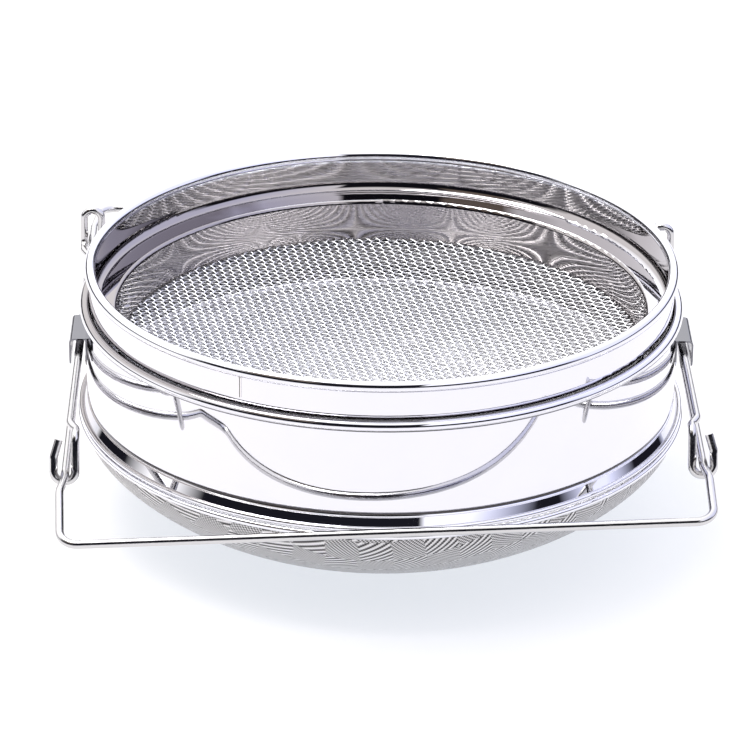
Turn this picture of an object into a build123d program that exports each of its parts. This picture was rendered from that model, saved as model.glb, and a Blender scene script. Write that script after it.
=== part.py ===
from build123d import *
import os
from math import cos, radians, sin

# Double sieve strainer, in millimetres. +Z is up and the origin is the centre of the lower
# dish's base. -Y is the front. The two sieves are coaxial about Z, and the bails slide along Y.

# Sheet metal and the wires rolled into the rims
SHEET = 0.6
ROLL_R = 2.2
ROLL_BORE_R = ROLL_R - SHEET
RIM_WIRE_R = ROLL_BORE_R - 0.05

# Upper sieve
UPPER_WALL_R = 118.1
UPPER_RIM_R = 117.9
UPPER_RIM_Z = 103.0
SHOULDER_Z = 87.6
SHOULDER_BEND_R = 4.8
LEDGE_R = 107.7
LEDGE_Z = 85.9
LEDGE_BEND_R = 1.5
COARSE_EDGE_R = 105.6
COARSE_EDGE_Z = 70.3
COARSE_SAG = 6.0
COARSE_THICK = 1.0
COARSE_HOOP_R = 1.5

# Lower sieve
LOWER_RIM_R = 120.1
LOWER_RIM_Z = 87.4
LOWER_WALL_R = 119.6
GROOVE_TOP_Z = 51.0
GROOVE_LOW_Z = 48.2
GROOVE_DEPTH = 1.0
FLANGE_R = 122.2
FLANGE_Z = 44.6
FLANGE_BEAD_R = 1.1
FINE_HOOP_RING_R = 122.65
FINE_HOOP_Z = 41.8
FINE_HOOP_R = 1.2
FINE_THICK = 0.5
FINE_SLIT_PLAY = 0.24
FINE_TOP_R = 122.2
FINE_FLAT_R = 62.0
FINE_SIDE_HANDLE = 15.4
FINE_BASE_HANDLE = 21.0

# Seam welds of the two bands
UPPER_SEAM_ANGLE = -118.0
LOWER_SEAM_ANGLE = 62.0
SEAM_WIDTH = 1.4
SEAM_PROUD = 0.25

# Hoods that the bails slide through
HOOD_HALF = 12.0
HOOD_TOP_Z = 74.7
HOOD_SHEET = 0.7
HOOD_PLATE_THICK = 0.5
HOOD_FLANGE_X = 125.7
HOOD_FLANGE_LOW_Z = 62.4
HOOD_SHIELD_LOW_Z = 57.6
HOOD_BEND_R = 1.6
HOOD_CORNER_R = 4.5
SPOT_R = 1.2
SPOT_PROUD = 0.15
SPOT_SPACING = 3.0
SPOT_Z = 62.0

# Bails. Each is one bent wire. Its two legs are twisted a little against each other, so each
# side has its own slope: the height gained per millimetre towards the rear.
WIRE_R = 1.7
CROSSBAR_Y = 135.6
CORNER_BEND_R = 7.0
GENTLE_BEND_R = 8.0
HOOK_BEND_R = 3.6
JOG_START = 5.0
JOG_END = 11.0

FRONT_LEG_X = 123.6
FRONT_LEG_Z = 60.8
FRONT_SLOPE_RIGHT = -0.012
FRONT_SLOPE_LEFT = 0.048
FRONT_BEND_Y = 101.0
FRONT_KINK_X = 125.0
FRONT_KINK_Y = 112.0
FRONT_END_X = 124.6
FRONT_END_SHIFT = 0.8
FRONT_END_Z_RIGHT = 55.6
FRONT_END_Z_LEFT = 44.4
ARCH_X = 126.15
ARCH_Y = 106.0
ARCH_RISE = 15.4
ARCH_BRANCH = 13.0
ARCH_WIDTH = 7.5

REAR_LEG_X = 122.4
REAR_LEG_Z = 69.6
REAR_SLOPE_RIGHT = -0.031
REAR_SLOPE_LEFT = 0.007
REAR_BEND_Y = 114.0
REAR_END_X = 120.0
CUP_X = 119.8
CUP_Y = 90.0
CUP_LEAN = radians(20)
CUP_DROP = 17.8
CUP_OUT_X = 128.2
CUP_SHOULDER_DROP = 8.6
CUP_TIP_X = 126.2
CUP_TIP_DROP = 1.8

os.makedirs("parts", exist_ok=True)


def save(part, name):
    """Labels one finished piece and writes it to parts/."""
    part.label = name
    export_step(part, f"parts/{name}.step")


# ---------------------------------------------------------------- upper sieve
with BuildPart() as upper_band:
    with BuildSketch(Plane.XZ):
        with BuildLine():
            FilletPolyline(
                (UPPER_WALL_R, UPPER_RIM_Z - ROLL_BORE_R),
                (UPPER_WALL_R, SHOULDER_Z),
                (LEDGE_R, LEDGE_Z),
                (COARSE_EDGE_R, COARSE_EDGE_Z - 1.0),
                radius=[SHOULDER_BEND_R, LEDGE_BEND_R],
            )
            offset(amount=SHEET / 2)
        make_face()
        with Locations((UPPER_RIM_R, UPPER_RIM_Z)):
            Circle(ROLL_R)
            Circle(ROLL_BORE_R, mode=Mode.SUBTRACT)
    revolve(axis=Axis.Z)
save(upper_band.part, "upper_band")

with BuildPart() as upper_rim_wire:
    with BuildSketch(Plane.XZ):
        with Locations((UPPER_RIM_R, UPPER_RIM_Z)):
            Circle(RIM_WIRE_R)
    revolve(axis=Axis.Z)
save(upper_rim_wire.part, "upper_rim_wire")

# The coarse floor sags, so its section follows a shallow parabola of constant thickness.
with BuildPart() as upper_mesh:
    with BuildSketch(Plane.XZ):
        with BuildLine():
            edge_x = COARSE_EDGE_R - SHEET / 2 - 0.1
            low = COARSE_EDGE_Z - COARSE_THICK
            top = COARSE_EDGE_Z
            Bezier((0, low - COARSE_SAG), (edge_x / 2, low - COARSE_SAG), (edge_x, low))
            Line((edge_x, low), (edge_x, top))
            Bezier((edge_x, top), (edge_x / 2, top - COARSE_SAG), (0, top - COARSE_SAG))
            Line((0, top - COARSE_SAG), (0, low - COARSE_SAG))
        make_face()
    revolve(axis=Axis.Z)
save(upper_mesh.part, "upper_mesh")

# A folded hoop under the mesh: its slit takes the band's lower edge.
with BuildPart() as upper_mesh_ring:
    with BuildSketch(Plane.XZ):
        hoop_z = COARSE_EDGE_Z - COARSE_THICK - COARSE_HOOP_R - 0.1
        with Locations((COARSE_EDGE_R, hoop_z)):
            Circle(COARSE_HOOP_R)
            Circle(COARSE_HOOP_R - SHEET, mode=Mode.SUBTRACT)
        with Locations((COARSE_EDGE_R, hoop_z + COARSE_HOOP_R)):
            Rectangle(SHEET + 0.1, 2 * COARSE_HOOP_R, mode=Mode.SUBTRACT)
    revolve(axis=Axis.Z)
save(upper_mesh_ring.part, "upper_mesh_ring")

# ---------------------------------------------------------------- lower sieve
with BuildPart() as lower_band:
    with BuildSketch(Plane.XZ):
        with BuildLine():
            groove_z = (GROOVE_TOP_Z + GROOVE_LOW_Z) / 2
            Line((LOWER_WALL_R, LOWER_RIM_Z - ROLL_BORE_R), (LOWER_WALL_R, GROOVE_TOP_Z))
            ThreePointArc(
                (LOWER_WALL_R, GROOVE_TOP_Z),
                (LOWER_WALL_R - GROOVE_DEPTH, groove_z),
                (LOWER_WALL_R, GROOVE_LOW_Z),
            )
            Line((LOWER_WALL_R, GROOVE_LOW_Z), (FLANGE_R - FLANGE_BEAD_R / 2, FLANGE_Z))
            offset(amount=SHEET / 2)
        make_face()
        with Locations((LOWER_RIM_R, LOWER_RIM_Z)):
            Circle(ROLL_R)
            Circle(ROLL_BORE_R, mode=Mode.SUBTRACT)
        with Locations((FLANGE_R, FLANGE_Z)):
            Circle(FLANGE_BEAD_R)
    revolve(axis=Axis.Z)
save(lower_band.part, "lower_band")

with BuildPart() as lower_rim_wire:
    with BuildSketch(Plane.XZ):
        with Locations((LOWER_RIM_R, LOWER_RIM_Z)):
            Circle(RIM_WIRE_R)
    revolve(axis=Axis.Z)
save(lower_rim_wire.part, "lower_rim_wire")

# The fine dish: steep sides that round into a flat base.
with BuildPart() as lower_mesh:
    with BuildSketch(Plane.XZ):
        with BuildLine():
            top_z = FINE_HOOP_Z
            half = FINE_THICK / 2
            Bezier(
                (FINE_TOP_R + half, top_z),
                (FINE_TOP_R + half, top_z - FINE_SIDE_HANDLE),
                (FINE_FLAT_R + FINE_BASE_HANDLE, 0),
                (FINE_FLAT_R, 0),
            )
            Line((FINE_FLAT_R, 0), (0, 0))
            Line((0, 0), (0, FINE_THICK))
            Line((0, FINE_THICK), (FINE_FLAT_R, FINE_THICK))
            Bezier(
                (FINE_FLAT_R, FINE_THICK),
                (FINE_FLAT_R + FINE_BASE_HANDLE, FINE_THICK),
                (FINE_TOP_R - half, top_z - FINE_SIDE_HANDLE),
                (FINE_TOP_R - half, top_z),
            )
            Line((FINE_TOP_R - half, top_z), (FINE_TOP_R + half, top_z))
        make_face()
    revolve(axis=Axis.Z)
save(lower_mesh.part, "lower_mesh")

with BuildPart() as lower_mesh_ring:
    with BuildSketch(Plane.XZ):
        with Locations((FINE_HOOP_RING_R, FINE_HOOP_Z)):
            Circle(FINE_HOOP_R)
            Circle(FINE_HOOP_R - SHEET, mode=Mode.SUBTRACT)
        with Locations((FINE_TOP_R, FINE_HOOP_Z - FINE_HOOP_R)):
            Rectangle(FINE_THICK + FINE_SLIT_PLAY, 2 * FINE_HOOP_R, mode=Mode.SUBTRACT)
    revolve(axis=Axis.Z)
save(lower_mesh_ring.part, "lower_mesh_ring")

# ---------------------------------------------------------------- seam welds
# Each band is a strip closed by a lap seam: a thin upright bead stands on its outside.
upper_seam = (SHOULDER_Z + SHOULDER_BEND_R, UPPER_RIM_Z - ROLL_R)
lower_seam = (GROOVE_TOP_Z + 0.3, LOWER_RIM_Z - ROLL_R)
for name, angle, wall_r, (low_z, high_z) in (
    ("upper_seam_weld", UPPER_SEAM_ANGLE, UPPER_WALL_R, upper_seam),
    ("lower_seam_weld", LOWER_SEAM_ANGLE, LOWER_WALL_R, lower_seam),
):
    outside = wall_r + SHEET / 2
    seam_plane = Plane.XY.offset(low_z)
    with BuildPart() as seam_weld:
        with BuildSketch(seam_plane):
            Circle(outside + SEAM_PROUD)
            Circle(outside, mode=Mode.SUBTRACT)
            with PolarLocations(outside, 1, start_angle=angle):
                Rectangle(4 * SEAM_WIDTH, SEAM_WIDTH, mode=Mode.INTERSECT)
        extrude(amount=high_z - low_z)
    save(seam_weld.part, name)

# ---------------------------------------------------------------- hoods
# A shield-shaped plate lies on the band, and a bent sheet reaches out over the wires and
# down outside them. Its underside is open.
band_outside = LOWER_WALL_R + SHEET / 2
for side, name in ((1, "right_hood"), (-1, "left_hood")):
    with BuildPart() as hood:
        with BuildSketch(Plane.XY.offset(HOOD_SHIELD_LOW_Z)):
            Circle(band_outside + HOOD_PLATE_THICK)
            Circle(band_outside, mode=Mode.SUBTRACT)
        extrude(amount=HOOD_TOP_Z - HOOD_SHIELD_LOW_Z)
        with BuildSketch(Plane.YZ):
            with BuildLine():
                Polyline(
                    (-HOOD_HALF, HOOD_TOP_Z),
                    (-HOOD_HALF, HOOD_FLANGE_LOW_Z + 3),
                    (0, HOOD_SHIELD_LOW_Z),
                    (HOOD_HALF, HOOD_FLANGE_LOW_Z + 3),
                    (HOOD_HALF, HOOD_TOP_Z),
                    close=True,
                )
            make_face()
        extrude(amount=side * (band_outside + 5), mode=Mode.INTERSECT)
        with BuildSketch(Plane.XZ.offset(-HOOD_HALF)):
            with BuildLine():
                outer_x = side * (HOOD_FLANGE_X + HOOD_SHEET / 2)
                FilletPolyline(
                    (side * (band_outside - 3), HOOD_TOP_Z - HOOD_SHEET / 2),
                    (outer_x, HOOD_TOP_Z - HOOD_SHEET / 2),
                    (outer_x, HOOD_FLANGE_LOW_Z),
                    radius=HOOD_BEND_R,
                )
                offset(amount=HOOD_SHEET / 2)
            make_face()
        extrude(amount=2 * HOOD_HALF)
        with BuildSketch(Plane.YZ.offset(side * (HOOD_FLANGE_X - HOOD_SHEET))):
            with Locations((0, HOOD_FLANGE_LOW_Z)):
                Rectangle(2 * HOOD_HALF + 1, 2 * HOOD_CORNER_R)
            with Locations((0, HOOD_FLANGE_LOW_Z - HOOD_SHEET / 2 + 2 * HOOD_CORNER_R)):
                RectangleRounded(2 * HOOD_HALF, 4 * HOOD_CORNER_R, HOOD_CORNER_R, mode=Mode.SUBTRACT)
        extrude(amount=side * 3 * HOOD_SHEET, mode=Mode.SUBTRACT)
        with BuildSketch(Plane.XY.offset(HOOD_SHIELD_LOW_Z)):
            Circle(band_outside)
        extrude(amount=HOOD_TOP_Z, mode=Mode.SUBTRACT)
    save(hood.part, name)

# Three spot welds fix each hood's plate to the band, seen as low round dimples.
for side, name in ((1, "right_hood_welds"), (-1, "left_hood_welds")):
    plate_x = side * (band_outside + HOOD_PLATE_THICK - SPOT_PROUD)
    with BuildPart() as spots:
        with BuildSketch(Plane.YZ.offset(plate_x)):
            with Locations((-SPOT_SPACING, SPOT_Z), (0, SPOT_Z), (SPOT_SPACING, SPOT_Z)):
                Circle(SPOT_R)
        extrude(amount=side * 2 * SPOT_PROUD)
    save(spots.part, name)

# ---------------------------------------------------------------- bails
def front_side(side, slope, end_z):
    """One side of the front bail, from its hook's tip to the crossbar; side is 1 or -1."""

    def at(x, y, rise=0.0):
        return Vector(side * x, y, FRONT_LEG_Z + slope * y + rise)

    return [
        at(ARCH_X - ARCH_WIDTH, ARCH_Y, ARCH_RISE - ARCH_BRANCH),
        at(ARCH_X - ARCH_WIDTH, ARCH_Y + 1, ARCH_RISE),
        at(ARCH_X, ARCH_Y + 1, ARCH_RISE),
        at(ARCH_X, ARCH_Y),
        at(ARCH_X, ARCH_Y - JOG_START),
        at(FRONT_LEG_X, ARCH_Y - JOG_END),
        at(FRONT_LEG_X, -FRONT_BEND_Y),
        at(FRONT_KINK_X, -FRONT_KINK_Y),
        Vector(side * FRONT_END_X + FRONT_END_SHIFT, -CROSSBAR_Y, end_z),
    ]


def rear_side(side, slope):
    """One side of the rear bail, from its hook's tip to the crossbar; side is 1 or -1."""

    def at(x, y, drop=0.0):
        return Vector(side * x, y, REAR_LEG_Z + slope * y - drop)

    def cup(x, drop):
        return at(x, -CUP_Y - drop * sin(CUP_LEAN), drop * cos(CUP_LEAN))

    return [
        cup(CUP_TIP_X, CUP_TIP_DROP),
        cup(CUP_OUT_X, CUP_SHOULDER_DROP),
        cup(CUP_OUT_X, CUP_DROP),
        cup(CUP_X, CUP_DROP),
        at(CUP_X, -CUP_Y),
        at(CUP_X, -CUP_Y + JOG_START),
        at(REAR_LEG_X, -CUP_Y + JOG_END),
        at(REAR_LEG_X, REAR_BEND_Y),
        at(REAR_END_X, CROSSBAR_Y),
    ]


# The front bail's rear hooks rise and turn inward over the rear bail's wire. The rear bail's
# front hooks drop, leaning forward, and turn outward under the front bail's wire.
front_right = front_side(1, FRONT_SLOPE_RIGHT, FRONT_END_Z_RIGHT)
front_left = front_side(-1, FRONT_SLOPE_LEFT, FRONT_END_Z_LEFT)
rear_right = rear_side(1, REAR_SLOPE_RIGHT)
rear_left = rear_side(-1, REAR_SLOPE_LEFT)

for name, right, left, tight_bends in (
    ("front_bail", front_right, front_left, 4),
    ("rear_bail", rear_right, rear_left, 5),
):
    bends = [HOOK_BEND_R] * tight_bends + [GENTLE_BEND_R] * (7 - tight_bends) + [CORNER_BEND_R]
    with BuildPart() as bail:
        with BuildLine() as route:
            FilletPolyline(*right, *reversed(left), radius=bends + bends[::-1])
        with BuildSketch(Plane(route.wires()[0] @ 0, z_dir=route.wires()[0] % 0)):
            Circle(WIRE_R)
        sweep()
    save(bail.part, name)
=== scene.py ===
import math

import bpy
import numpy as np
from mathutils import Matrix, Vector


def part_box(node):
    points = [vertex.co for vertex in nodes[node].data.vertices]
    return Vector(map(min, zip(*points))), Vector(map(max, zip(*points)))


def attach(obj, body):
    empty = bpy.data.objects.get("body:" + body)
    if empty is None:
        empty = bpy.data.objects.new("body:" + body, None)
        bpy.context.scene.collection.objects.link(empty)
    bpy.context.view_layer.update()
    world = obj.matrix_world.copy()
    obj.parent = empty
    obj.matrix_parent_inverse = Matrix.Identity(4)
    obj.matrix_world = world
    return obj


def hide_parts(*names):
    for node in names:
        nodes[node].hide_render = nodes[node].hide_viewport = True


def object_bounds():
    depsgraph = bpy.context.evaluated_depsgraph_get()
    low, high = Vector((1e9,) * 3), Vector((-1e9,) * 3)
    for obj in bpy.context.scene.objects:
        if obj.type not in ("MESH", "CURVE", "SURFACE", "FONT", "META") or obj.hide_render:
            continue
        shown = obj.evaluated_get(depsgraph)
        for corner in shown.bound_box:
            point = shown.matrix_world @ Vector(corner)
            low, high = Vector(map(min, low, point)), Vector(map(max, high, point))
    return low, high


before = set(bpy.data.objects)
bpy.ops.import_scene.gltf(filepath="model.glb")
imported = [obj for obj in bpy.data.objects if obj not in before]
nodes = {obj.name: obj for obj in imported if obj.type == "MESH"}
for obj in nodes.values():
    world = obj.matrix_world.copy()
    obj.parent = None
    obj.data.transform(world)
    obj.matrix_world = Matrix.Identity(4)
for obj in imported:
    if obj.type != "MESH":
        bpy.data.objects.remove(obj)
cad_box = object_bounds()

MM = 0.001

# Camera: a long lens, a little left of the front, looking down at the rims.
CAMERA_DISTANCE = 1.7
CAMERA_AZIMUTH = -1.0
CAMERA_ELEVATION = 23.3
CAMERA_ROLL = 0.6
CAMERA_DROP = 0.0449
CAMERA_LEFT = 0.0023
CAMERA_LENS = 201.8
RIM_ROLL_R = 2.2 * MM

# Coarse plain weave of the upper sieve, pulled a little out of square. The turns are the
# directions of its two sets of wires.
COARSE_PITCH = 2.77 * MM
COARSE_WIRE_R = 0.3 * MM
COARSE_CAD_THICK = 1.0 * MM
COARSE_TURNS = (math.radians(-37.0), math.radians(58.5))
COARSE_SIDES = 8
COARSE_STEPS = 4
COARSE_PARTS = 4

# Dish of the lower sieve: the handles of its curved section, its flat base and its sheet's grid.
DISH_FLAT_R = 62.0 * MM
DISH_SIDE_HANDLE = 15.4 * MM
DISH_BASE_HANDLE = 21.0 * MM
DISH_CENTRE_R = 0.5 * MM
DISH_STEP = 1.1 * MM
DISH_QUARTERS = 4

# Its twilled cloth, in millimetres of flat cloth: squares whose edges drift by slow waves (turn and
# pitch), each with serrated ribs or with dots.
CLOTH_PATCH = 14.0
CLOTH_DRIFT = 4.0
CLOTH_DRIFT_WAVES = ((1.45, 97.0), (0.15, 113.0))
CLOTH_RIB_TURN = 1.0
CLOTH_RIB_PITCH = 2.35
CLOTH_RIB_HEIGHT = 0.8
CLOTH_TOOTH_PITCH = 1.1
CLOTH_TOOTH_HEIGHT = 0.3
CLOTH_DOT_TURNS = (0.2, 1.35)
CLOTH_DOT_PITCH = 1.45
CLOTH_RELIEF = 0.22 * MM
CLOTH_ROUGH = (0.34, 0.5)
CLOTH_SMUDGE_SCALE = 180
# Painted shade between the cloth's ribs and dots, painted light on their tops, and painted light on its
# inside, where it faces up.
CLOTH_PAINTED_SHADE = (0.05, 0.047, 0.047)
CLOTH_PAINTED_LIT_TOPS = (0.9, 0.88, 0.88)
CLOTH_PAINTED_LIGHT_INSIDE = (0.97, 0.97, 0.98)

# Noise in the steel, in cycles per metre: slow tint, smudges, sheet that isn't quite flat, grain.
TINT_SCALE = 60
SMUDGE_SCALE = 140
BEND_SCALE = 22
GRAIN_SCALE = 900

# Painted tones of the bands: painted dark reflection on the inside and on part of the ledge, painted
# shade on the inside below the coarse floor, and painted shade and dark reflection in the groove and
# under the shoulder. They are set from the photo, and stand in for dark things that the real steel
# reflected there and for the shade in its hollows.
PAINTED_INSIDE_REFLECTION = (0.37, 0.345, 0.345)
PAINTED_DEEP_SHADE = (0.15, 0.145, 0.145)
PAINTED_FOLD_SHADE_AND_SEAM_LINE = (0.06, 0.055, 0.055)

# Where those tones start and end on the bands, and the line that both seams lie on in plan.
RIM_LOW_Z = (99.5 * MM, 100.5 * MM)
LEDGE_TOP_Z = (94.5 * MM, 95.5 * MM)
LEDGE_DARK_X = (-48 * MM, -30 * MM)
LEDGE_REFLECTION_RAGGEDNESS = 40 * MM
DEEP_TOP_Z = (64 * MM, 68 * MM)
GROOVE_Z = (48.9 * MM, 50.4 * MM)
GROOVE_FADE = 0.5 * MM
SHOULDER_Z = (83.5 * MM, 97 * MM)
SHOULDER_FADE = 2 * MM
SEAM_ANGLE = math.radians(-118.0)
SEAM_LINE = (0.12 * MM, 0.22 * MM)

# The room that the steel reflects, by direction: x to the right, y to the back, z up. It is white
# and cooler on the right. It is unlit low in front and low at both sides. In front an unlit figure
# stands upright, with brown drapes to the left of it.
ROOM_WHITE = (1.6, 1.6, 1.62)
ROOM_COOL = (1.1, 1.13, 1.45)
ROOM_UNLIT = (0.012, 0.012, 0.018)
ROOM_DRAPES = (0.3, 0.25, 0.21)
COOL_X = (0.1, 0.7)
FRONT_Y = (-0.3, -0.08)
LOW_Z = (0.42, 0.5)
LEFT_RISE = 0.13
LEFT_X = (-0.2, -0.05)
UPRIGHT_Z = (0.8, 0.9)
FIGURE_X = -0.06
FIGURE_HALF = (0.27, 0.31)
DRAPES_X = -0.48
DRAPES_HALF = (0.16, 0.22)
SIDES_X = (0.25, 0.4)
SIDES_Z = (0.16, 0.26)
HORIZON_Z = (-0.02, 0.02)

# The floor, a hair below the dish's base, glows a little so that it reads as white.
FLOOR_REACH = 6.0
FLOOR_GAP = 0.2 * MM
FLOOR_COLOUR = (0.3, 0.27, 0.25)
FLOOR_GLOW = (0.88, 0.93, 1.0)
FLOOR_GLOW_STRENGTH = 0.76


# ------------------------------------------------------------------ materials
def new_material(name):
    """A node material, its node tree and its Principled shader."""
    material = bpy.data.materials.new(name)
    material.use_nodes = True
    tree = material.node_tree
    return material, tree, tree.nodes["Principled BSDF"]


def add(tree, kind, **values):
    """Adds a node and sets its inputs or properties by name."""
    node = tree.nodes.new(kind)
    for key, value in values.items():
        if key in node.inputs:
            node.inputs[key].default_value = value
        else:
            setattr(node, key, value)
    return node


def ramp(tree, source, low, high, start, end):
    """Maps source from start..end to low..high, clamped."""
    node = add(tree, "ShaderNodeMapRange")
    node.inputs["From Min"].default_value = start
    node.inputs["From Max"].default_value = end
    node.inputs["To Min"].default_value = low
    node.inputs["To Max"].default_value = high
    tree.links.new(source, node.inputs["Value"])
    return node.outputs["Result"]


def rise(tree, source, span):
    """A mask that rises from 0 to 1 across a span."""
    return ramp(tree, source, 0.0, 1.0, *span)


def fall(tree, source, span):
    """A mask that falls from 1 to 0 across a span."""
    return ramp(tree, source, 1.0, 0.0, *span)


def math_node(tree, operation, *sources):
    """A math node whose inputs are sockets or numbers."""
    node = add(tree, "ShaderNodeMath", operation=operation)
    for place, source in enumerate(sources):
        if isinstance(source, (int, float)):
            node.inputs[place].default_value = source
        else:
            tree.links.new(source, node.inputs[place])
    return node.outputs[0]


def product(tree, first, second):
    """Two sockets or numbers multiplied."""
    return math_node(tree, "MULTIPLY", first, second)


def total(tree, first, second):
    """Two sockets or numbers added."""
    return math_node(tree, "ADD", first, second)


def distance_from(tree, source, centre):
    """How far a value is from a centre, either way."""
    return math_node(tree, "ABSOLUTE", total(tree, source, -centre))


def within(tree, source, span, fade):
    """A mask that is 1 inside a span and fades to 0 towards both of its ends."""
    low, high = span
    rising = rise(tree, source, (low, low + fade))
    return product(tree, rising, fall(tree, source, (high - fade, high)))


def mixed(tree, mask, before, after):
    """A colour socket: before where the mask is 0, the colour after where it is 1."""
    mix = add(tree, "ShaderNodeMix", data_type="RGBA")
    mix.inputs[7].default_value = (*after, 1)
    tree.links.new(mask, mix.inputs[0])
    if isinstance(before, tuple):
        mix.inputs[6].default_value = (*before, 1)
    else:
        tree.links.new(before, mix.inputs[6])
    return mix.outputs[2]


def noise(tree, scale, detail):
    """Noise in object space, with a scale in cycles per metre."""
    coords = add(tree, "ShaderNodeTexCoord")
    texture = add(tree, "ShaderNodeTexNoise", Scale=scale, Detail=detail)
    tree.links.new(coords.outputs["Object"], texture.inputs["Vector"])
    return texture.outputs["Fac"]


def metal(name, colour, rough, bend=0.0, grain=0.0, grain_scale=GRAIN_SCALE, tint=0.04):
    """Steel: colour and roughness vary a little, a slow wave bends reflections, a grain dulls them."""
    material, tree, shader = new_material(name)
    shader.inputs["Metallic"].default_value = 1.0
    darker = tuple(c * (1 - tint) for c in colour)
    lighter = tuple(min(1, c * (1 + tint)) for c in colour)
    shade = noise(tree, TINT_SCALE, 4.0)
    tree.links.new(mixed(tree, shade, darker, lighter), shader.inputs["Base Color"])
    smudge = noise(tree, SMUDGE_SCALE, 6.0)
    tree.links.new(ramp(tree, smudge, rough * 0.7, rough * 1.5, 0.35, 0.7), shader.inputs["Roughness"])
    normal = None
    for height, scale, detail in ((bend, BEND_SCALE, 1.0), (grain, grain_scale, 3.0)):
        if height:
            bump = add(tree, "ShaderNodeBump", Strength=1.0, Distance=height)
            tree.links.new(noise(tree, scale, detail), bump.inputs["Height"])
            if normal:
                tree.links.new(normal, bump.inputs["Normal"])
            normal = bump.outputs["Normal"]
    if normal:
        tree.links.new(normal, shader.inputs["Normal"])
    return material


def around_axis(tree):
    """Object-space sockets: how much a surface faces away from Z, its place, how much it faces up."""
    coords = add(tree, "ShaderNodeTexCoord")
    flat = add(tree, "ShaderNodeVectorMath", operation="MULTIPLY")
    flat.inputs[1].default_value = (1, 1, 0)
    tree.links.new(coords.outputs["Object"], flat.inputs[0])
    radial = add(tree, "ShaderNodeVectorMath", operation="NORMALIZE")
    tree.links.new(flat.outputs[0], radial.inputs[0])
    facing = add(tree, "ShaderNodeVectorMath", operation="DOT_PRODUCT")
    tree.links.new(radial.outputs[0], facing.inputs[0])
    tree.links.new(coords.outputs["Normal"], facing.inputs[1])
    place = add(tree, "ShaderNodeSeparateXYZ")
    tree.links.new(coords.outputs["Object"], place.inputs[0])
    normal = add(tree, "ShaderNodeSeparateXYZ")
    tree.links.new(coords.outputs["Normal"], normal.inputs[0])
    return facing.outputs["Value"], place.outputs, normal.outputs["Z"]


def tone(tree, mask, colour):
    """Mixes a colour into a material's base colour where the mask is 1."""
    base = tree.nodes["Principled BSDF"].inputs["Base Color"]
    tree.links.new(mixed(tree, mask, base.links[0].from_socket, colour), base)


def band_metal(name, colour, rough, bend):
    """Polished sheet with painted dark reflection where it faces the axis and on part of the ledge,
    painted shade inside below the coarse floor, and painted shade and dark reflection in its folds.
    """
    material = metal(name, colour, rough, bend=bend, tint=0.02)
    tree = material.node_tree
    facing, place, upward = around_axis(tree)
    x, z = place["X"], place["Z"]
    inside = product(tree, fall(tree, facing, (-0.6, -0.3)), fall(tree, z, RIM_LOW_Z))
    tone(tree, inside, PAINTED_INSIDE_REFLECTION)
    tone(tree, product(tree, inside, fall(tree, z, DEEP_TOP_Z)), PAINTED_DEEP_SHADE)
    ledge = product(tree, rise(tree, upward, (0.4, 0.8)), fall(tree, z, LEDGE_TOP_Z))
    ragged_x = total(tree, x, product(tree, noise(tree, TINT_SCALE, 2.0), LEDGE_REFLECTION_RAGGEDNESS))
    tone(tree, product(tree, ledge, fall(tree, ragged_x, LEDGE_DARK_X)), PAINTED_INSIDE_REFLECTION)
    groove = within(tree, z, GROOVE_Z, GROOVE_FADE)
    shoulder = within(tree, z, SHOULDER_Z, SHOULDER_FADE)
    under = product(tree, fall(tree, upward, (-0.6, -0.25)), shoulder)
    outside = rise(tree, facing, (0.0, 0.15))
    tone(tree, product(tree, outside, math_node(tree, "MAXIMUM", groove, under)), PAINTED_FOLD_SHADE_AND_SEAM_LINE)
    return material


def seam_metal(name, colour):
    """A flattened bead: steel with one thin dark line down its middle."""
    material = metal(name, colour, 0.12, grain=0.05 * MM)
    tree = material.node_tree
    place = around_axis(tree)[1]
    across_x = product(tree, place["X"], -math.sin(SEAM_ANGLE))
    across_y = product(tree, place["Y"], math.cos(SEAM_ANGLE))
    aside = math_node(tree, "ABSOLUTE", total(tree, across_x, across_y))
    tone(tree, fall(tree, aside, SEAM_LINE), PAINTED_FOLD_SHADE_AND_SEAM_LINE)
    return material


def wave(tree, x, y, turn, pitch):
    """A sine wave running across the cloth at an angle, between -1 and 1."""
    along_x = product(tree, x, 2 * math.pi * math.cos(turn) / pitch)
    along_y = product(tree, y, 2 * math.pi * math.sin(turn) / pitch)
    return math_node(tree, "SINE", total(tree, along_x, along_y))


def cloth_relief(tree):
    """The cloth's height, about -1 to 1: squares of serrated ribs alternate with squares of dots."""
    cloth = add(tree, "ShaderNodeAttribute", attribute_name="cloth")
    split = add(tree, "ShaderNodeSeparateXYZ")
    tree.links.new(cloth.outputs["Vector"], split.inputs[0])
    x, y = split.outputs["X"], split.outputs["Y"]
    wave_x, wave_y = (wave(tree, x, y, turn, pitch) for turn, pitch in CLOTH_DRIFT_WAVES)
    drift_x = total(tree, x, product(tree, wave_x, CLOTH_DRIFT))
    drift_y = total(tree, y, product(tree, wave_y, CLOTH_DRIFT))
    column = math_node(tree, "FLOOR", math_node(tree, "DIVIDE", drift_x, CLOTH_PATCH))
    row = math_node(tree, "FLOOR", math_node(tree, "DIVIDE", drift_y, CLOTH_PATCH))
    ribbed = math_node(tree, "MODULO", math_node(tree, "ABSOLUTE", total(tree, column, row)), 2.0)
    rib = wave(tree, drift_x, drift_y, CLOTH_RIB_TURN, CLOTH_RIB_PITCH)
    tooth = wave(tree, x, y, CLOTH_RIB_TURN + math.pi / 2, CLOTH_TOOTH_PITCH)
    ribs = product(tree, rib, CLOTH_RIB_HEIGHT)
    teeth = product(tree, tooth, CLOTH_TOOTH_HEIGHT)
    warp, weft = (wave(tree, x, y, turn, CLOTH_DOT_PITCH) for turn in CLOTH_DOT_TURNS)
    pick = add(tree, "ShaderNodeMix", data_type="FLOAT")
    tree.links.new(ribbed, pick.inputs[0])
    tree.links.new(product(tree, warp, weft), pick.inputs[2])
    tree.links.new(total(tree, ribs, teeth), pick.inputs[3])
    return pick.outputs[0]


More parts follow.
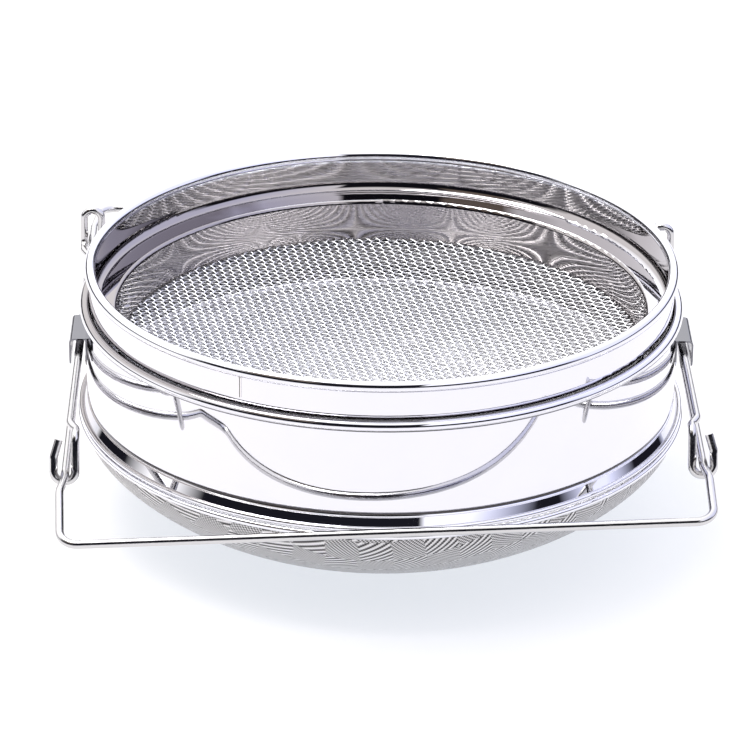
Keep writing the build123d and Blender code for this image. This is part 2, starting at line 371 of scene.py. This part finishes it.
def twilled_cloth():
    """Fine cloth with painted shade between its ribs and dots and painted light on their tops on the
    outside, and plain pale painted light on the inside, where it faces up.
    """
    material, tree, shader = new_material("fine_mesh_cloth")
    relief = cloth_relief(tree)
    shade = add(tree, "ShaderNodeValToRGB")
    for stop, place, colour in zip(shade.color_ramp.elements, (0.22, 0.7), (CLOTH_PAINTED_SHADE, CLOTH_PAINTED_LIT_TOPS)):
        stop.position = place
        stop.color = (*colour, 1)
    tree.links.new(rise(tree, relief, (-1.0, 1.0)), shade.inputs[0])
    tree.links.new(shade.outputs[0], shader.inputs["Base Color"])
    upward = around_axis(tree)[2]
    tone(tree, rise(tree, upward, (0.1, 0.4)), CLOTH_PAINTED_LIGHT_INSIDE)
    shader.inputs["Metallic"].default_value = 0.6
    smudge = noise(tree, CLOTH_SMUDGE_SCALE, 4.0)
    tree.links.new(ramp(tree, smudge, *CLOTH_ROUGH, 0.35, 0.65), shader.inputs["Roughness"])
    bump = add(tree, "ShaderNodeBump", Strength=1.0, Distance=CLOTH_RELIEF)
    tree.links.new(relief, bump.inputs["Height"])
    tree.links.new(bump.outputs["Normal"], shader.inputs["Normal"])
    return material


def dress(material, *names):
    """Gives CAD nodes a material in every slot."""
    for name in names:
        mesh = nodes[name].data
        mesh.materials.clear()
        mesh.materials.append(material)


# ------------------------------------------------------------------ mesh pieces
def mesh_piece(name, points, faces, material, body):
    """A smooth mesh object made from arrays, riding on a body."""
    mesh = bpy.data.meshes.new(name)
    mesh.from_pydata([], [], [])
    mesh.vertices.add(len(points))
    mesh.vertices.foreach_set("co", np.asarray(points, np.float32).ravel())
    sides = faces.shape[1]
    mesh.loops.add(faces.size)
    mesh.polygons.add(len(faces))
    mesh.polygons.foreach_set("loop_start", np.arange(0, faces.size, sides, dtype=np.int32))
    mesh.loops.foreach_set("vertex_index", faces.astype(np.int32).ravel())
    mesh.update(calc_edges=True)
    mesh.validate()
    mesh.polygons.foreach_set("use_smooth", np.ones(len(mesh.polygons), bool))
    mesh.materials.append(material)
    piece = bpy.data.objects.new(name, mesh)
    bpy.context.scene.collection.objects.link(piece)
    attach(piece, body)
    return piece


def tube_arrays(path, radius, sides, first):
    """Points and quads of a closed tube along a path, with each end capped by a strip of quads."""
    along = np.gradient(path, axis=0)
    along /= np.linalg.norm(along, axis=1)[:, None]
    up = np.array([0.0, 0.0, 1.0])
    side = np.cross(along, up)
    side /= np.linalg.norm(side, axis=1)[:, None]
    over = np.cross(side, along)
    turn = np.arange(sides) * 2 * math.pi / sides
    cos, sin = np.cos(turn)[None, :, None], np.sin(turn)[None, :, None]
    ring = cos * side[:, None, :] + sin * over[:, None, :]
    points = (path[:, None, :] + radius * ring).reshape(-1, 3)
    count = len(path)
    row = np.arange(count - 1)[:, None] * sides
    column = np.arange(sides)[None, :]
    after = (column + 1) % sides
    quads = np.stack([row + column, row + sides + column, row + sides + after, row + after], -1)
    last = (count - 1) * sides
    caps = []
    for start, order in ((0, 1), (last, -1)):
        for k in range(1, sides // 2):
            quad = [start + k - 1, start + k, start + sides - 1 - k, start + sides - k]
            caps.append(quad[::order])
    return points, np.vstack([quads.reshape(-1, 4), np.array(caps)]) + first


def wire_path(wire, direction, edge, middle, sag):
    """One wire's points: it waves over and under the others and ends at the floor's round edge."""
    turn, other_turn = COARSE_TURNS[direction], COARSE_TURNS[1 - direction]
    heading = np.array([math.cos(turn), math.sin(turn)])
    across = np.array([-math.sin(turn), math.cos(turn)])
    other = np.array([-math.sin(other_turn), math.cos(other_turn)])
    offset = wire * COARSE_PITCH
    reach = math.sqrt(max(0, edge ** 2 - offset ** 2))
    most = 2 * int(edge / COARSE_PITCH) * COARSE_STEPS
    ticks = np.arange(-most, most + 1)
    along = (ticks * COARSE_PITCH / COARSE_STEPS - offset * (across @ other)) / (heading @ other)
    inside = np.abs(along) < reach
    ticks, along = ticks[inside], along[inside]
    flat = heading[None, :] * along[:, None] + across[None, :] * offset
    radius = np.hypot(flat[:, 0], flat[:, 1])
    phase = math.pi * ticks / COARSE_STEPS + math.pi * (wire + direction)
    height = middle - sag * (1 - (radius / edge) ** 2) + COARSE_WIRE_R * np.cos(phase)
    return np.column_stack([flat, height])


def coarse_weave(materials):
    """Plain-woven wires, cut to the mesh's round edge and sagging like its CAD solid."""
    low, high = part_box("upper_mesh")
    edge = (high.x - low.x) / 2
    sag = (high.z - low.z) - COARSE_CAD_THICK
    middle = high.z - 2 * COARSE_WIRE_R
    count = int(edge / COARSE_PITCH)
    wires = np.arange(-count, count + 1)
    for direction, kind in enumerate(("warp", "weft")):
        for part, group in enumerate(np.array_split(wires, COARSE_PARTS), 1):
            points, faces, first = [], [], 0
            for wire in group:
                path = wire_path(wire, direction, edge, middle, sag)
                if len(path) < COARSE_STEPS:
                    continue
                tube_points, tube_faces = tube_arrays(path, COARSE_WIRE_R, COARSE_SIDES, first)
                first += len(tube_points)
                points.append(tube_points)
                faces.append(tube_faces)
            name = f"coarse_wires_{kind}_{part}"
            material = materials[direction]
            points, faces = np.vstack(points), np.vstack(faces)
            mesh_piece(name, points, faces, material, "upper_sieve")
    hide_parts("upper_mesh")


def dish_profile():
    """Radius and height along the dish, from the rim down to the flat base, as the CAD solid has them."""
    low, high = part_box("lower_mesh")
    rim = (high.x - low.x) / 2
    corners = np.array([
        [rim, high.z], [rim, high.z - DISH_SIDE_HANDLE],
        [DISH_FLAT_R + DISH_BASE_HANDLE, low.z], [DISH_FLAT_R, low.z],
    ])
    t = np.linspace(0, 1, 600)[:, None]
    curve = (
        (1 - t) ** 3 * corners[0] + 3 * (1 - t) ** 2 * t * corners[1]
        + 3 * (1 - t) * t ** 2 * corners[2] + t ** 3 * corners[3]
    )
    length = np.concatenate([[0], np.cumsum(np.linalg.norm(np.diff(curve, axis=0), axis=1))])
    return curve, length, low.z


def fine_dish(material):
    """The dish as one thin sheet, in four quarters; its cloth's flat coordinates lie in an attribute."""
    curve, length, base_z = dish_profile()
    rows = int(length[-1] / DISH_STEP)
    along = np.linspace(0, length[-1], rows)
    radius = np.interp(along, length, curve[:, 0])
    height = np.interp(along, length, curve[:, 1])
    base_rows = int(DISH_FLAT_R / (2 * DISH_STEP))
    radius = np.concatenate([radius, np.linspace(DISH_FLAT_R, DISH_CENTRE_R, base_rows)[1:]])
    height = np.concatenate([height, np.full(base_rows - 1, base_z)])
    sheet = np.concatenate([length[-1] - along + DISH_FLAT_R, radius[rows:]])
    around = int(2 * math.pi * radius[0] / DISH_STEP / DISH_QUARTERS)
    for quarter in range(DISH_QUARTERS):
        start = quarter * 2 * math.pi / DISH_QUARTERS
        angle = start + np.linspace(0, 2 * math.pi / DISH_QUARTERS, around + 1)
        cos, sin = np.cos(angle)[None, :], np.sin(angle)[None, :]
        r, z, flat = radius[:, None], height[:, None], sheet[:, None]
        points = np.stack([r * cos, r * sin, z + 0 * cos], -1).reshape(-1, 3)
        cloth = np.stack([flat * cos, flat * sin, 0 * z * cos], -1).reshape(-1, 3)
        i = np.arange(len(radius) - 1)[:, None] * (around + 1)
        j = np.arange(around)[None, :]
        faces = np.stack([i + j, i + around + 1 + j, i + around + 2 + j, i + 1 + j], -1).reshape(-1, 4)
        name = f"fine_cloth_{quarter + 1}"
        piece = mesh_piece(name, points, faces, material, "lower_sieve")
        layer = piece.data.attributes.new("cloth", "FLOAT_VECTOR", "POINT")
        layer.data.foreach_set("vector", (cloth / MM).astype(np.float32).ravel())
    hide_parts("lower_mesh")


# ------------------------------------------------------------------ studio
def world_studio():
    """The camera sees plain white, and reflections see the room."""
    world = bpy.data.worlds.new("studio")
    bpy.context.scene.world = world
    world.use_nodes = True
    tree = world.node_tree
    tree.nodes.clear()
    coords = add(tree, "ShaderNodeTexCoord")
    split = add(tree, "ShaderNodeSeparateXYZ")
    tree.links.new(coords.outputs["Generated"], split.inputs[0])
    x, y, z = split.outputs["X"], split.outputs["Y"], split.outputs["Z"]

    front = fall(tree, y, FRONT_Y)
    sunk = math_node(tree, "SUBTRACT", z, ramp(tree, x, LEFT_RISE, 0.0, *LEFT_X))
    low = product(tree, front, fall(tree, sunk, LOW_Z))
    upright = product(tree, front, fall(tree, z, UPRIGHT_Z))
    figure = product(tree, upright, fall(tree, distance_from(tree, x, FIGURE_X), FIGURE_HALF))
    drapes = product(tree, upright, fall(tree, distance_from(tree, x, DRAPES_X), DRAPES_HALF))
    sides = product(tree, rise(tree, distance_from(tree, x, 0.0), SIDES_X), fall(tree, z, SIDES_Z))
    unlit = math_node(tree, "MAXIMUM", math_node(tree, "MAXIMUM", low, figure), sides)
    unlit = product(tree, unlit, rise(tree, z, HORIZON_Z))
    lit = mixed(tree, drapes, mixed(tree, rise(tree, x, COOL_X), ROOM_WHITE, ROOM_COOL), ROOM_DRAPES)
    room = mixed(tree, unlit, lit, ROOM_UNLIT)

    seen = add(tree, "ShaderNodeBackground", Strength=1.0)
    tree.links.new(room, seen.inputs["Color"])
    plain = add(tree, "ShaderNodeBackground", Strength=1.0)
    plain.inputs["Color"].default_value = (1, 1, 1, 1)
    path = add(tree, "ShaderNodeLightPath")
    choose = add(tree, "ShaderNodeMixShader")
    tree.links.new(path.outputs["Is Camera Ray"], choose.inputs[0])
    tree.links.new(seen.outputs[0], choose.inputs[1])
    tree.links.new(plain.outputs[0], choose.inputs[2])
    output = add(tree, "ShaderNodeOutputWorld")
    tree.links.new(choose.outputs[0], output.inputs[0])


def area_light(name, place, target, size, power):
    """A square soft light aimed at a point."""
    data = bpy.data.lights.new(name, "AREA")
    data.shape = "SQUARE"
    data.size = size
    data.energy = power
    light = bpy.data.objects.new(name, data)
    light.location = place
    light.rotation_mode = "QUATERNION"
    light.rotation_quaternion = (Vector(target) - Vector(place)).to_track_quat("-Z", "Y")
    bpy.context.scene.collection.objects.link(light)


def floor():
    """A pale floor, bright enough to read as white."""
    mesh = bpy.data.meshes.new("floor")
    signs = ((-1, -1), (1, -1), (1, 1), (-1, 1))
    mesh.from_pydata([(FLOOR_REACH * x, FLOOR_REACH * y, 0) for x, y in signs], [], [(0, 1, 2, 3)])
    piece = bpy.data.objects.new("floor", mesh)
    piece.location.z = cad_box[0].z - FLOOR_GAP
    material, _, shader = new_material("pale_floor")
    shader.inputs["Roughness"].default_value = 0.75
    shader.inputs["Base Color"].default_value = (*FLOOR_COLOUR, 1)
    shader.inputs["Emission Color"].default_value = (*FLOOR_GLOW, 1)
    shader.inputs["Emission Strength"].default_value = FLOOR_GLOW_STRENGTH
    mesh.materials.append(material)
    bpy.context.scene.collection.objects.link(piece)


def camera():
    """The view from the front, above the rims, with a long lens."""
    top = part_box("upper_band")[1]
    rim = Vector((0, 0, top.z - RIM_ROLL_R))
    around, up = math.radians(CAMERA_AZIMUTH), math.radians(CAMERA_ELEVATION)
    back = Vector((math.sin(around) * math.cos(up), -math.cos(around) * math.cos(up), math.sin(up)))
    place = rim + back * CAMERA_DISTANCE
    level = (-back).to_track_quat("-Z", "Y").to_matrix()
    aim = rim - level.col[1] * CAMERA_DROP - level.col[0] * CAMERA_LEFT
    turn = (aim - place).to_track_quat("-Z", "Y").to_matrix().to_4x4()
    data = bpy.data.cameras.new("camera")
    data.lens = CAMERA_LENS
    data.sensor_width = 36
    data.clip_start = 0.05
    data.clip_end = 50
    item = bpy.data.objects.new("camera", data)
    roll = Matrix.Rotation(math.radians(CAMERA_ROLL), 4, "Z")
    item.matrix_world = Matrix.Translation(place) @ turn @ roll
    bpy.context.scene.collection.objects.link(item)
    bpy.context.scene.camera = item


# Base colours are set from the photo. The hoop's is much darker than the other steel, and the hoods' dark
# tone is a painted dark reflection.
band_steel = band_metal("polished_band_steel", (0.79, 0.785, 0.825), rough=0.03, bend=0.12 * MM)
ring_steel = metal("folded_ring_steel", (0.84, 0.835, 0.87), rough=0.05, bend=0.2 * MM, tint=0.02)
hoop_steel = metal("dull_hoop_steel", (0.1, 0.1, 0.105), rough=0.3)
seam_steel = seam_metal("seam_bead", (0.82, 0.8, 0.8))
wire_steel = metal("drawn_wire_steel", (0.62, 0.61, 0.61), rough=0.14, grain=0.02 * MM)
hood_steel = metal("pressed_hood_steel", (0.2, 0.2, 0.22), rough=0.08, bend=0.2 * MM)
# One steel in two copies: the warp's lighter colour is a painted highlight, the weft's darker colour
# painted shade.
warp_steel_painted_lit = metal("coarse_warp_wire_painted_lit", (0.95, 0.95, 0.96), rough=0.28)
weft_steel_painted_shade = metal("coarse_weft_wire_painted_shade", (0.8, 0.8, 0.82), rough=0.32)
fine_steel = twilled_cloth()
weld_steel = metal("weld_bead", (0.42, 0.4, 0.38), rough=0.4, grain=0.2 * MM, grain_scale=1500)

dress(band_steel, "upper_band", "lower_band")
dress(ring_steel, "lower_mesh_ring")
dress(hoop_steel, "upper_mesh_ring")
dress(seam_steel, "upper_seam_weld", "lower_seam_weld")
dress(wire_steel, "upper_rim_wire", "lower_rim_wire", "front_bail", "rear_bail")
dress(hood_steel, "left_hood", "right_hood")
dress(weld_steel, "left_hood_welds", "right_hood_welds")
coarse_weave((warp_steel_painted_lit, weft_steel_painted_shade))
fine_dish(fine_steel)
world_studio()
area_light("key", place=(-0.5, 0.2, 1.6), target=(0, 0, 0.05), size=0.9, power=26)
floor()
camera()
bpy.context.scene.view_settings.view_transform = "Standard"
